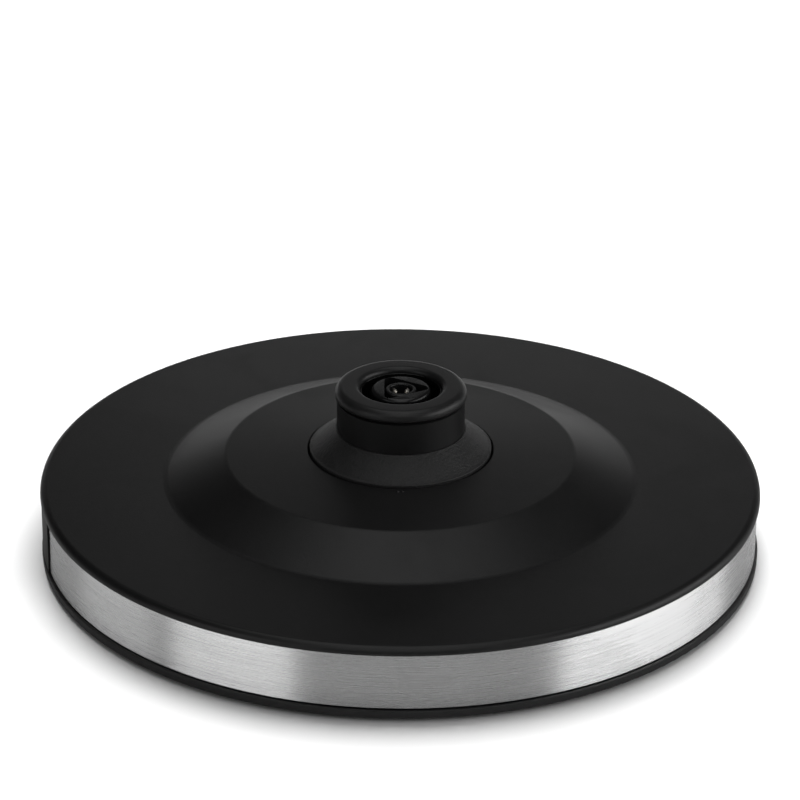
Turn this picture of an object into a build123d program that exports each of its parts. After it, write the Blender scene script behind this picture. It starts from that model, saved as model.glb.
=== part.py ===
from build123d import *
import os

# Cordless kettle power base: a round plastic stand with a steel band round its side and a
# raised 360 degree connector in the middle.  The kettle stands on the flat ring round the
# connector.  Millimetres, +Z up, floor at z = 0, origin under the middle of the base, and
# the front (the side with the two alignment dots) faces -Y.

# ---- driving dimensions -------------------------------------------------------------
BASE_R = 86.4            # widest radius of the top cover, at its rounded lip
RIM_R = 86.4             # bottom cover, as wide as the lip
SEAT_Z = 18.7            # flat ring that the kettle stands on
CROWN_Z = 25.8           # top of the raised middle, at the connector
TOTAL_Z = 42.2           # top of the connector
FOOT_H = 1.0             # rubber feet below the bottom cover
TOWER_R = 15.6           # connector tower, outside
CHANNEL_R = 9.63         # outer wall of the ring channel that takes the kettle's plug
ISLAND_R = 7.1           # sprung island inside the ring channel
PIN_R = 2.73             # central hole for the kettle's centre pin
SHUTTER_TRAVEL = 3.0     # how far the island sinks under the kettle's plug
OUTLET_AZ = 164.0        # direction in which the mains cord leaves, degrees from +X
OUTLET_HALF = 31.5       # half the angle of wall that the steel band leaves bare
CORD_R = 3.2             # mains cord that the outlet is made for

# ---- covers -------------------------------------------------------------------------
WALL = 1.8               # general wall thickness
LIP_ROUND = 1.8
FLOOR_TOP = FOOT_H + 2.0            # upper face of the bottom cover's plate
BAND_T = 0.5
BAND_R = 85.8                       # outside of the steel band
COVER_WALL_R = BAND_R - BAND_T      # the top cover's side wall, behind the band
OUTLET_WALL_R = 86.2                # the bare stretch of wall at the cord outlet, just inside the lip
COVER_INNER_R = COVER_WALL_R - 2.0
LIP_Z = SEAT_Z - LIP_ROUND          # underside of the lip
SIDE_BOTTOM_Z = FLOOR_TOP + 0.3     # shadow gap above the bottom cover
ROOF_UNDER_Z = SEAT_Z - WALL
SLOPE_FOOT_R = 56.4                 # where the slope to the raised middle starts
CROWN_R = SLOPE_FOOT_R + 1.0        # the raised middle is kept as a node of its own, out to here
PLATEAU_R = 41.9
PLATEAU_Z = 24.8
OPENING_R = 22.2                    # hole in the cover for the connector

# ---- connector ----------------------------------------------------------------------
SKIRT_R = 21.8                      # foot of the conical skirt
SKIRT_Z = CROWN_Z + 0.6
TOWER_FOOT_Z = 31.2
CAP_SEAM_Z = 39.5                   # joint between the tower and its cap
STEP_R = TOWER_R - 0.8              # the tower steps in below its foot, into the skirt
RING_Z = 18.4                       # underside of the fixing ring
RING_TOP_Z = RING_Z + 2.0           # the cover's collar and the skirt both rest on the ring
RING_R = 27.0
EAR_R = 30.0                        # circle of the three fixing ears
CHANNEL_FLOOR_Z = 29.0
CHANNEL_FLOOR_T = 1.5
TOWER_INNER_R = 13.9
LINER_R = 10.8                      # outside of the tube that lines the ring channel
HUB_R = 3.75
HUB_TOP_Z = 41.3
ISLAND_TOP_Z = TOTAL_Z - 0.65
ISLAND_ROOF_Z = 39.4                # underside of the island's top
ISLAND_INNER_R = 5.3
SPRING_SEAT_Z = 27.0
CARRIER_Z = RING_Z - 2.0            # underside of the terminal carrier
STRIP_R = 12.3                      # radius at which the two ring contacts stand
STRIP_W = 5.0
TAB_W = 6.3                         # push-on terminal tabs
TAB_T = 0.8
LIVE_AZ = 90.0
NEUTRAL_AZ = 330.0
EARTH_AZ = 210.0
CONNECTOR_SCREW_AZ = (30.0, 150.0, 270.0)
CARRIER_SCREW_R = 11.5

# ---- feet, case screws and cord clamp -----------------------------------------------
FOOT_AZ = (45.0, 135.0, 225.0, 315.0)
FOOT_PITCH_R = 70.0
FOOT_R = 6.0
FOOT_RECESS = 0.8
CASE_SCREW_AZ = (0.0, 90.0, 180.0, 270.0)
CASE_SCREW_R = 70.0
CASE_SCREW_Z = 5.4                  # seat of the case screws' heads
CASE_BOSS_Z = 7.0                   # where the two covers' screw bosses meet
CORD_Z = 9.0                        # height of the cord's centre
CLAMP_R = 66.0                      # distance of the cord clamp from the middle
CLAMP_SCREW_Y = 8.2
CLAMP_FOOT_Z = 9.6                  # where the clamp bar rests on its two bosses


def polar(radius, azimuth, z=0.0):
    """A place at a radius, direction and height, turned so that its X points outward."""
    return Rot(0, 0, azimuth) * Pos(radius, 0, z)


def turned(*corners, start=0.0, arc=360.0):
    """A ring turned about Z from (radius, height) corners; a third value rounds a corner."""
    section = make_face(Polyline(*[corner[:2] for corner in corners], close=True))
    for corner in corners:
        if len(corner) == 3:
            radius, height, corner_round = corner
            nearest = section.vertices().sort_by_distance((radius, height, 0))[0]
            section = fillet(nearest, corner_round)
    return Rot(0, 0, start) * revolve(Plane.XZ * section, Axis.Z, revolution_arc=arc)


def upright(radius, z_low, z_high):
    """A round post between two heights."""
    return Pos(0, 0, z_low) * Cylinder(radius, z_high - z_low, align=(Align.CENTER, Align.CENTER, Align.MIN))


def block(x_range, y_range, z_range):
    """A box given by its ranges."""
    size = [high - low for low, high in (x_range, y_range, z_range)]
    low = [span[0] for span in (x_range, y_range, z_range)]
    return Pos(*low) * Box(*size, align=(Align.MIN, Align.MIN, Align.MIN))


def screw(head_r, head_h, shank_r, length):
    """A cross-head screw that points up, with its head's seat at z = 0."""
    tip = shank_r
    body = turned((0, -head_h), (head_r, -head_h, head_h * 0.45), (head_r, 0), (shank_r, 0),
                  (shank_r, length - tip), (0, length))
    drive_l, drive_w, drive_h = head_r * 1.1, head_r * 0.28, head_h * 0.55
    for turn in (0, 90):
        cross = block((-drive_l / 2, drive_l / 2), (-drive_w / 2, drive_w / 2), (-head_h, drive_h - head_h))
        body -= Rot(0, 0, turn) * cross
    return body


# ---- top cover ----------------------------------------------------------------------
RIB_AZ = (22.5, 67.5, 112.5, 202.5, 247.5, 292.5, 337.5)
PAD_INNER = 80.5                    # flat inner face of the cord outlet's pad
GLAND_RECESS = 84.6                 # floor of the recess for the gland's outer flange
DOT_R = 0.4                         # the two alignment dots in front of the connector
DOT_FRONT = 23.5


def cover_moulding():
    """The moulded cover: raised middle, slope, seat ring, lip and side wall, with its bosses."""
    shell = turned(
        (OPENING_R, CROWN_Z, 0.3),
        (PLATEAU_R, PLATEAU_Z, 2.5),
        (SLOPE_FOOT_R, SEAT_Z, 4.0),
        (BASE_R, SEAT_Z, LIP_ROUND - 0.05),
        (BASE_R, LIP_Z),
        (COVER_WALL_R, LIP_Z),
        (COVER_WALL_R, SIDE_BOTTOM_Z),
        (COVER_INNER_R, SIDE_BOTTOM_Z),
        (COVER_INNER_R, ROOF_UNDER_Z),
        (SLOPE_FOOT_R + 0.4, ROOF_UNDER_Z),
        (PLATEAU_R + 0.3, PLATEAU_Z - WALL),
        (OPENING_R + WALL, CROWN_Z - WALL - 0.1),
        (OPENING_R + WALL, RING_TOP_Z),
        (OPENING_R, RING_TOP_Z),
    )
    # bare stretch of wall at the cord outlet, a little proud of the steel band
    shell += turned((COVER_WALL_R - 0.5, SIDE_BOTTOM_Z), (OUTLET_WALL_R, SIDE_BOTTOM_Z), (OUTLET_WALL_R, LIP_Z + 0.2),
                    (COVER_WALL_R - 0.5, LIP_Z + 0.2), start=OUTLET_AZ - OUTLET_HALF, arc=2 * OUTLET_HALF)
    shell += cord_outlet_pad()
    shell -= polar(GLAND_RECESS, OUTLET_AZ, CORD_Z) * Rot(0, 90, 0) * upright(GLAND_FLANGE_R + 0.1, 0, 3)
    shell -= polar(0, OUTLET_AZ, CORD_Z) * Rot(0, 90, 0) * upright(GLAND_NECK_R + 0.05, PAD_INNER - 5, BASE_R)
    for azimuth in CASE_SCREW_AZ:
        shell += polar(CASE_SCREW_R, azimuth) * case_boss()
    for azimuth in CONNECTOR_SCREW_AZ:
        boss = upright(3.0, RING_TOP_Z, PLATEAU_Z - 0.9) - upright(1.3, RING_TOP_Z, PLATEAU_Z - 1.5)
        shell += polar(EAR_R, azimuth) * boss
    for azimuth in RIB_AZ:
        shell += Rot(0, 0, azimuth) * roof_rib()
    for side in (-DOT_R - 0.15, DOT_R + 0.15):
        shell += Pos(side, -DOT_FRONT, 0) * upright(DOT_R, CROWN_Z - 0.5, CROWN_Z + 0.15)
    return shell


def top_cover():
    """The outer part of the cover moulding: seat ring, lip and side wall."""
    return cover_moulding() - upright(CROWN_R, 0, TOTAL_Z)


def crown():
    """The raised middle of the cover moulding, kept apart so that the seat ring stays flat."""
    return cover_moulding() & upright(CROWN_R, 0, TOTAL_Z)


def cord_outlet_pad():
    """A flat-backed thickening of the side wall that the cord gland is set in."""
    half_width = 8.0
    pad = block((PAD_INNER, COVER_INNER_R + 1.0), (-half_width, half_width), (SIDE_BOTTOM_Z, LIP_Z + 0.2))
    return Rot(0, 0, OUTLET_AZ) * pad


def case_boss():
    """A hanging boss that a case screw bites into."""
    boss = upright(3.2, CASE_BOSS_Z, ROOF_UNDER_Z + 0.5)
    return boss - upright(1.5, CASE_BOSS_Z, ROOF_UNDER_Z - 1.0)


def roof_rib():
    """A stiffening rib under the seat ring."""
    return block((SLOPE_FOOT_R + 2.0, COVER_INNER_R + 0.5), (-0.75, 0.75), (ROOF_UNDER_Z - 3.0, ROOF_UNDER_Z + 0.3))


# ---- bottom cover -------------------------------------------------------------------
SPIGOT_R = COVER_INNER_R - 0.2      # locating ring inside the top cover's wall
SADDLE = 4.0                        # half the length of the cord saddle
DRAIN_AZ = (45.0, 135.0, 225.0, 315.0)


def bottom_cover():
    """The base plate: locating ring, ribs, screw wells, drain slots, foot recesses, cord saddle."""
    plate = turned((0, FOOT_H), (RIM_R, FOOT_H, 0.3), (RIM_R, FLOOR_TOP, 0.3), (0, FLOOR_TOP))
    plate += turned((SPIGOT_R - 1.9, FLOOR_TOP - 0.5), (SPIGOT_R, FLOOR_TOP - 0.5), (SPIGOT_R, FLOOR_TOP + 3.6),
                    (SPIGOT_R - 1.9, FLOOR_TOP + 3.6))
    for rib_r in (24.0, 46.0):
        plate += turned((rib_r - 0.8, FLOOR_TOP - 0.5), (rib_r + 0.8, FLOOR_TOP - 0.5),
                        (rib_r + 0.8, FLOOR_TOP + 3.0), (rib_r - 0.8, FLOOR_TOP + 3.0))
    for azimuth in RIB_AZ:
        plate += Rot(0, 0, azimuth) * block((24.0, SPIGOT_R - 1.0), (-0.75, 0.75), (FLOOR_TOP - 0.5, FLOOR_TOP + 2.4))
    for azimuth in CASE_SCREW_AZ:
        plate += polar(CASE_SCREW_R, azimuth) * upright(4.6, FLOOR_TOP - 0.5, CASE_BOSS_Z)
        plate -= polar(CASE_SCREW_R, azimuth) * upright(3.4, 0, CASE_SCREW_Z)
        plate -= polar(CASE_SCREW_R, azimuth) * upright(1.7, 0, CASE_BOSS_Z + 1)
    for azimuth in FOOT_AZ:
        plate -= polar(FOOT_PITCH_R, azimuth) * upright(FOOT_R + 0.1, 0, FOOT_H + FOOT_RECESS)
    for azimuth in DRAIN_AZ:
        plate -= polar(14.0, azimuth) * Box(2.4, 9.0, 20.0)
    plate -= block((-23, 23), (-46, -26), (0, FOOT_H + 0.3))      # blank panel for the rating plate
    plate += Rot(0, 0, OUTLET_AZ) * cord_saddle()
    gap = 8.6                                                     # the locating ring stops at the outlet pad
    plate -= Rot(0, 0, OUTLET_AZ) * block((PAD_INNER - 1.3, SPIGOT_R + 0.3), (-gap, gap), (FLOOR_TOP, FLOOR_TOP + 6))
    return plate


def cord_saddle():
    """A grooved block for the cord, with the clamp bar's two screw bosses."""
    saddle = block((CLAMP_R - SADDLE, CLAMP_R + SADDLE), (-4.5, 4.5), (FLOOR_TOP - 0.5, CORD_Z - 2.0))
    saddle -= Pos(CLAMP_R, 0, CORD_Z) * Rot(0, 90, 0) * Cylinder(CORD_R + 0.1, 4 * SADDLE)
    for side in (-CLAMP_SCREW_Y, CLAMP_SCREW_Y):
        saddle += Pos(CLAMP_R, side, 0) * upright(3.0, FLOOR_TOP - 0.5, CLAMP_FOOT_Z)
        saddle -= Pos(CLAMP_R, side, 0) * upright(1.2, FLOOR_TOP + 0.5, CLAMP_FOOT_Z + 1)
    return saddle


def rubber_foot():
    """A stick-in rubber foot with a softened lower edge."""
    return turned((0, 0), (FOOT_R, 0, 0.4), (FOOT_R, FOOT_H + FOOT_RECESS), (0, FOOT_H + FOOT_RECESS))


# ---- steel band ---------------------------------------------------------------------
def steel_band():
    """Brushed steel strip round the side, open at the cord outlet, its ends' corners rounded."""
    end_gap = 0.25
    start = OUTLET_AZ + OUTLET_HALF + end_gap
    arc = 360.0 - 2 * (OUTLET_HALF + end_gap)
    inner = COVER_WALL_R + 0.02
    low, high = SIDE_BOTTOM_Z + 0.05, LIP_Z - 0.05
    band = turned((inner, low), (BAND_R, low), (BAND_R, high), (inner, high), start=start, arc=arc)
    corners = [edge for edge in band.edges() if edge.geom_type == GeomType.LINE and edge.length < 1.0]
    return fillet(corners, 1.6)


# ---- cord outlet --------------------------------------------------------------------
GLAND_FLANGE_R = 6.0
GLAND_NECK_R = 4.7
GLAND_OUTER = 85.5                  # outer face of the gland, just inside the side wall's curve
GLAND_INNER = PAD_INNER - 1.1


def cord_gland():
    """A rubber gland in the side wall, grooved to snap into it, that the cord passes through."""
    bore_r = CORD_R + 0.1
    ring = turned(
        (bore_r, GLAND_INNER),
        (GLAND_FLANGE_R - 0.2, GLAND_INNER, 0.3),
        (GLAND_FLANGE_R - 0.2, PAD_INNER),
        (GLAND_NECK_R, PAD_INNER),
        (GLAND_NECK_R, GLAND_RECESS),
        (GLAND_FLANGE_R, GLAND_RECESS),
        (GLAND_FLANGE_R, GLAND_OUTER, 0.3),
        (bore_r, GLAND_OUTER, 0.25),
    )
    return polar(0, OUTLET_AZ, CORD_Z) * Rot(0, 90, 0) * ring


def cord_clamp():
    """An arched bar that holds the cord down in its saddle."""
    half_length, half_width, ear_top = 11.4, SADDLE, 12.4
    bar = block((-half_width, half_width), (-half_length, half_length), (CLAMP_FOOT_Z, ear_top))
    arch = Pos(0, 0, CORD_Z) * Rot(0, 90, 0) * Cylinder(CORD_R + 1.8, 2 * half_width)
    bar += arch & block((-half_width, half_width), (-half_length, half_length), (CLAMP_FOOT_Z, LIP_Z))
    bar -= Pos(0, 0, CORD_Z) * Rot(0, 90, 0) * Cylinder(CORD_R + 0.1, 4 * half_width)
    for side in (-CLAMP_SCREW_Y, CLAMP_SCREW_Y):
        bar -= Pos(0, side, 0) * upright(1.4, CLAMP_FOOT_Z - 1, ear_top + 1)
    return polar(CLAMP_R, OUTLET_AZ) * bar


def clamp_screws():
    """The two screws of the cord clamp, driven from above."""
    one = Pos(0, 0, 12.4) * Rot(180, 0, 0) * screw(2.4, 1.7, 1.15, 8.0)
    pair = [Pos(0, side, 0) * one for side in (-CLAMP_SCREW_Y, CLAMP_SCREW_Y)]
    return Compound(children=[polar(CLAMP_R, OUTLET_AZ) * each for each in pair])


def case_screws():
    """The four screws that hold the two covers together, driven from below."""
    one = screw(2.9, 1.9, 1.45, 9.0)
    return Compound(children=[polar(CASE_SCREW_R, azimuth, CASE_SCREW_Z) * one for azimuth in CASE_SCREW_AZ])


# ---- connector mouldings ------------------------------------------------------------
SKIRT_WALL = 1.8
WINDOW_Z = (31.0, 38.2)             # openings in the liner for the two ring contacts


def connector_tower():
    """The tower: its wall, the floor of the ring channel and the three bosses below."""
    tower = turned(
        (STEP_R, CHANNEL_FLOOR_Z - CHANNEL_FLOOR_T),
        (STEP_R, TOWER_FOOT_Z),
        (TOWER_R, TOWER_FOOT_Z),
        (TOWER_R, CAP_SEAM_Z, 0.25),
        (TOWER_INNER_R, CAP_SEAM_Z),
        (TOWER_INNER_R, CHANNEL_FLOOR_Z),
        (ISLAND_R + 0.3, CHANNEL_FLOOR_Z),
        (ISLAND_R + 0.3, CHANNEL_FLOOR_Z - CHANNEL_FLOOR_T),
    )
    for azimuth in CONNECTOR_SCREW_AZ:
        tower += polar(CARRIER_SCREW_R, azimuth) * upright(2.3, RING_Z, CHANNEL_FLOOR_Z - 0.5)
        tower -= polar(CARRIER_SCREW_R, azimuth) * upright(1.15, RING_Z - 1, RING_Z + 6.5)
    for azimuth in (NEUTRAL_AZ, EARTH_AZ):
        slot = block((STRIP_R - 0.9, STRIP_R + 0.9), (-3.2, 3.2), (CHANNEL_FLOOR_Z - 3, CHANNEL_FLOOR_Z + 1))
        tower -= Rot(0, 0, azimuth) * slot
    return tower


def connector_skirt():
    """The conical skirt round the tower's foot, standing in the cover's opening."""
    foot_round, top_edge = 0.35, 0.6
    return turned(
        (SKIRT_R, RING_TOP_Z),
        (SKIRT_R, SKIRT_Z, foot_round),
        (TOWER_R, TOWER_FOOT_Z),
        (STEP_R, TOWER_FOOT_Z),
        (STEP_R, TOWER_FOOT_Z - top_edge - SKIRT_WALL),
        (SKIRT_R - SKIRT_WALL, SKIRT_Z - SKIRT_WALL),
        (SKIRT_R - SKIRT_WALL, RING_TOP_Z),
    )


def fixing_ring():
    """The ring that holds the skirt up in the cover, with its three screw ears."""
    ring = turned((SKIRT_R - SKIRT_WALL, RING_Z), (RING_R, RING_Z), (RING_R, RING_TOP_Z),
                  (SKIRT_R - SKIRT_WALL, RING_TOP_Z))
    for azimuth in CONNECTOR_SCREW_AZ:
        ring += polar(EAR_R, azimuth) * upright(3.8, RING_Z, RING_TOP_Z)
        ring -= polar(EAR_R, azimuth) * upright(1.6, RING_Z - 1, RING_TOP_Z + 1)
    return ring


def connector_cap():
    """The tower's cap: rounded shoulder, dished mouth and a spigot inside the tower's wall."""
    spigot_r = TOWER_INNER_R - 0.1
    cap_under = TOTAL_Z - 2.0
    return turned(
        (TOWER_R, CAP_SEAM_Z, 0.25),
        (TOWER_R, TOTAL_Z, 1.4),
        (CHANNEL_R, TOTAL_Z, 0.9),
        (CHANNEL_R, cap_under),
        (spigot_r - 1.4, cap_under),
        (spigot_r - 1.4, CAP_SEAM_Z - 2.0),
        (spigot_r, CAP_SEAM_Z - 2.0),
        (spigot_r, CAP_SEAM_Z),
    )


def channel_liner():
    """The tube that lines the ring channel, with a window for each ring contact."""
    low, high = CHANNEL_FLOOR_Z, TOTAL_Z - 2.0
    liner = turned((CHANNEL_R, low), (LINER_R, low), (LINER_R, high), (CHANNEL_R, high))
    for azimuth in (NEUTRAL_AZ, EARTH_AZ):
        liner -= Rot(0, 0, azimuth) * block((CHANNEL_R - 2, LINER_R + 0.5), (-2.9, 2.9), WINDOW_Z)
    return liner


def terminal_carrier():
    """The plate that closes the connector from below and holds its contacts, with creepage walls."""
    plate = turned((2.6, CARRIER_Z), (SKIRT_R, CARRIER_Z, 0.3), (SKIRT_R, RING_Z), (2.6, RING_Z))
    for azimuth in (10.0, 130.0, 250.0):
        plate += Rot(0, 0, azimuth) * block((6.0, 20.0), (-0.6, 0.6), (CARRIER_Z - 4.0, CARRIER_Z + 0.5))
    for azimuth in CONNECTOR_SCREW_AZ:
        plate -= polar(CARRIER_SCREW_R, azimuth) * upright(1.4, CARRIER_Z - 5, RING_Z + 1)
    for azimuth in (NEUTRAL_AZ, EARTH_AZ):
        plate -= Rot(0, 0, azimuth) * block((STRIP_R - 0.5, STRIP_R + 0.5), (-2.8, 2.8), (CARRIER_Z - 1, RING_Z + 1))
    return plate


# ---- sprung island ------------------------------------------------------------------
KEY_AZ = (0.0, 120.0, 240.0)
KEY_W = 1.4
KEY_OUTER = 6.1
HUB_GAP = 0.2                       # between the hub and the island that slides round it
POCKET_R = KEY_OUTER + 0.2          # how far the three corner pockets reach


def centre_post():
    """The fixed hub in the middle, which shrouds the live contact and guides the island."""
    post = turned(
        (PIN_R, RING_Z),
        (7.0, RING_Z),
        (7.0, RING_Z + 1.2),
        (5.0, RING_Z + 1.2),
        (5.0, SPRING_SEAT_Z),
        (HUB_R, SPRING_SEAT_Z),
        (HUB_R, HUB_TOP_Z, 0.45),
        (PIN_R, HUB_TOP_Z, 0.3),
    )
    for azimuth in KEY_AZ:
        key_top = ISLAND_ROOF_Z - SHUTTER_TRAVEL - 0.4
        post += Rot(0, 0, azimuth) * block((4.85, KEY_OUTER), (-KEY_W / 2, KEY_W / 2), (RING_Z + 0.5, key_top))
    return post


def hub_pocket(z_low, z_high):
    """A three-cornered prism that touches the hub's clearance on its sides, its corners cut round."""
    inner_r = HUB_R + HUB_GAP
    outline = RegularPolygon(radius=2 * inner_r, side_count=3) & Circle(POCKET_R)
    return Pos(0, 0, z_low) * extrude(outline, amount=z_high - z_low)


def shutter():
    """The sprung island: a lidded sleeve that sinks under the kettle's plug.

    Its three-cornered opening clears the hub, and its corners run on the hub's keys.
    """
    flange_z = CHANNEL_FLOOR_Z - CHANNEL_FLOOR_T - 0.3
    sleeve = turned(
        (HUB_R - 1.0, ISLAND_ROOF_Z),
        (HUB_R - 1.0, ISLAND_TOP_Z),
        (ISLAND_R, ISLAND_TOP_Z, 0.6),
        (ISLAND_R, flange_z),
        (ISLAND_R + 1.1, flange_z),
        (ISLAND_R + 1.1, flange_z - 1.0),
        (ISLAND_INNER_R, flange_z - 1.0),
        (ISLAND_INNER_R, ISLAND_ROOF_Z),
    )
    return sleeve - hub_pocket(flange_z - 2.0, TOTAL_Z)


def shutter_spring():
    """The coil spring that lifts the island, wound round the hub."""
    wire_r, coil_r, turns = 0.25, 4.35, 5
    height = ISLAND_ROOF_Z - SPRING_SEAT_Z - 2 * wire_r - 0.1
    path = Helix(pitch=height / turns, height=height, radius=coil_r)
    section = Plane(path @ 0, z_dir=path % 0) * Circle(wire_r)
    return Pos(0, 0, SPRING_SEAT_Z + wire_r + 0.05) * sweep(section, path=path, is_frenet=True)


# ---- contacts -----------------------------------------------------------------------
def bent_strip(points, bend_r, thickness, width):
    """Sheet metal bent along (x, z) points and centred on the XZ plane."""
    path = FilletPolyline(*points, radius=bend_r)
    return extrude(Plane.XZ * trace(path, thickness), amount=width / 2, both=True)


def tab(x_low, x_high):
    """A push-on terminal tab lying under the carrier, with its locking hole."""
    blade = block((x_low, x_high), (-TAB_W / 2, TAB_W / 2), (CARRIER_Z - TAB_T, CARRIER_Z))
    return blade - Pos(x_high - 4.0, 0, 0) * upright(0.8, CARRIER_Z - 2, CARRIER_Z + 1)


def ring_contact(crest_z, azimuth):
    """A strip standing behind the collar, bowed through its window into the ring channel."""
    foot = CARRIER_Z - TAB_T / 2
    crest = (CHANNEL_R - 0.8, crest_z)
    points = [(STRIP_R, foot), (STRIP_R, crest_z - 3.0), crest, (STRIP_R - 0.9, crest_z + 2.8)]
    strip = bent_strip(points, 0.9, 0.45, STRIP_W)
    return Rot(0, 0, azimuth) * (strip + tab(STRIP_R - 0.6, STRIP_R + 15.0))


def live_contact():
    """A two-pronged spring contact that grips the kettle's centre pin between its tips."""
    foot = CARRIER_Z - TAB_T / 2
    points = [(1.95, foot), (1.95, 37.8), (1.15, 39.7), (1.7, 40.9)]
    prong = bent_strip(points, 0.6, 0.45, 2.2)
    pair = prong + mirror(prong, Plane.YZ)
    return pair + Rot(0, 0, LIVE_AZ) * tab(-2.4, 20.0)


def connector_screws():
    """The three screws that hold the connector up against the top cover."""
    one = screw(2.8, 1.7, 1.25, 4.7)
    return Compound(children=[polar(EAR_R, azimuth, RING_Z) * one for azimuth in CONNECTOR_SCREW_AZ])


def carrier_screws():
    """The three screws that hold the terminal carrier to the connector."""
    one = screw(2.3, 1.5, 1.1, 7.5)
    return Compound(children=[polar(CARRIER_SCREW_R, azimuth, CARRIER_Z) * one for azimuth in CONNECTOR_SCREW_AZ])


# ---- one file for each piece --------------------------------------------------------
parts = {
    "top_cover": top_cover(),
    "crown": crown(),
    "bottom_cover": bottom_cover(),
    "steel_band": steel_band(),
    "cord_gland": cord_gland(),
    "cord_clamp": cord_clamp(),
    "clamp_screws": clamp_screws(),
    "case_screws": case_screws(),
    "connector_tower": connector_tower(),
    "connector_skirt": connector_skirt(),
    "fixing_ring": fixing_ring(),
    "connector_cap": connector_cap(),
    "channel_liner": channel_liner(),
    "connector_screws": connector_screws(),
    "terminal_carrier": terminal_carrier(),
    "carrier_screws": carrier_screws(),
    "centre_post": centre_post(),
    "shutter": shutter(),
    "shutter_spring": shutter_spring(),
    "live_contact": live_contact(),
    "neutral_contact": ring_contact(34.0, NEUTRAL_AZ),
    "earth_contact": ring_contact(35.0, EARTH_AZ),
}
for number, azimuth in enumerate(FOOT_AZ, start=1):
    parts[f"rubber_foot_{number}"] = polar(FOOT_PITCH_R, azimuth) * rubber_foot()

os.makedirs("parts", exist_ok=True)
for name, solid in parts.items():
    export_step(solid, f"parts/{name}.step")
print(f"{len(parts)} pieces, base {2 * RIM_R:.1f} mm across and {TOTAL_Z:.1f} mm high")
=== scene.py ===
# %% [markdown]
# # The power base of a cordless kettle
#
# A cordless kettle stands on a low round base.  The base has a flat ring that the kettle rests on, a
# raised middle, and a connector tower that the kettle's socket drops over in any direction.
#
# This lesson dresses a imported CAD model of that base.  The CAD decides where everything is.  The
# pieces that the eye rests on are modelled again here with bmesh operators, so that they shade
# smoothly and carry small edges, and the inner pieces keep their CAD meshes under better finishes.

import math

import bmesh
import bpy
from mathutils import Matrix, Quaternion, Vector


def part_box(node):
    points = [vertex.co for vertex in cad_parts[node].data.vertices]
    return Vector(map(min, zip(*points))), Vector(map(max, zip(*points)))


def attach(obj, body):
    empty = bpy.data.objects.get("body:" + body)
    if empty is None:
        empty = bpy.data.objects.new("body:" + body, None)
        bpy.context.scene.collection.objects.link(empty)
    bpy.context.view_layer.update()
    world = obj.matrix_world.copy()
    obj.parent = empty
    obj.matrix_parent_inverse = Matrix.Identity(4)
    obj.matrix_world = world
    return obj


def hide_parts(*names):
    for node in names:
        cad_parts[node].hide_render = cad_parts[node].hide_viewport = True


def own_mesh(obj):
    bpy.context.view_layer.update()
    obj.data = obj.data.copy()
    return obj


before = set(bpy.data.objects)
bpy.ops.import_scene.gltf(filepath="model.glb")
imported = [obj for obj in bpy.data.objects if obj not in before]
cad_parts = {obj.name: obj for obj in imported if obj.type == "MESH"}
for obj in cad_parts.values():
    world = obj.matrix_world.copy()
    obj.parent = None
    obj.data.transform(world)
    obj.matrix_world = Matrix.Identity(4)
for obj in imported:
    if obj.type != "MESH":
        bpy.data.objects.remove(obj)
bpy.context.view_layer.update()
MM = 0.001

# %% [markdown]
# ## Reading sizes from the frame
#
# Each new piece takes its place from the CAD node that it stands for.  A box in millimetres is easier
# to read beside a drawing than one in metres, so every shape below is drawn in millimetres and
# scaled once, when its vertices are made.


# %% Boxes in millimetres
def span(node):
    """The lowest and highest corner of a CAD node, in millimetres."""
    low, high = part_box(node)
    return low / MM, high / MM


for node in sorted(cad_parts):
    low, high = span(node)
    print(f"{node}: {high.x - low.x:.1f} x {high.y - low.y:.1f} mm, from {low.z:.2f} up to {high.z:.2f}")

# %% [markdown]
# ## A section with rounded corners
#
# Nearly every moulding on the base is a turned shape, like something made on a lathe.  Such a shape
# starts as half of its section, drawn as one flat face.  No moulding has a perfectly sharp corner, so
# a corner may carry a third number, the radius of its rounding.  A bevel that acts on the corner's
# vertex cuts it, and the offset is worked out so that the arc meets both sides without a kink.

# %% Draw a section
ROUND_STEPS = 8


def rounding_offset(before, corner, after):
    """How far along its sides a corner's bevel starts, for the arc to have the radius asked for."""
    arriving = Vector((corner[0] - before[0], corner[1] - before[1]))
    leaving = Vector((after[0] - corner[0], after[1] - corner[1]))
    return corner[2] * MM * math.tan(arriving.angle(leaving) / 2)


def draw_section(bm, corners):
    """One face in the XZ plane, from (radius, height) corners or (radius, height, rounding) ones."""
    verts = [bm.verts.new((corner[0] * MM, 0, corner[1] * MM)) for corner in corners]
    bm.faces.new(verts)
    for index, corner in enumerate(corners):
        if len(corner) < 3:
            continue
        offset = rounding_offset(corners[index - 1], corner, corners[(index + 1) % len(corners)])
        bmesh.ops.bevel(bm, geom=[verts[index]], offset=offset, offset_type="OFFSET", segments=ROUND_STEPS,
                        profile=0.5, affect="VERTICES", material=-1, clamp_overlap=False)


# %% [markdown]
# ## Turning the section
#
# The section's face has done its work once its outline is right, so the face is removed and only the
# edges are spun.  A full turn is closed with use_merge, so there is no seam.  Where an outline touches
# the axis, the spin leaves many vertices in one place.  Merging them makes a clean pole, and the
# normals are worked out after that.

# %% Spin it round
TURN_STEPS = 288
UP = (0, 0, 1)


def close_shell(bm):
    """Merges doubles, drops edges that belong to no face, and turns every face outward."""
    bmesh.ops.remove_doubles(bm, verts=list(bm.verts), dist=1e-7)
    loose = [edge for edge in bm.edges if not edge.link_faces]
    bmesh.ops.delete(bm, geom=loose, context="EDGES")
    bmesh.ops.recalc_face_normals(bm, faces=list(bm.faces))


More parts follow.
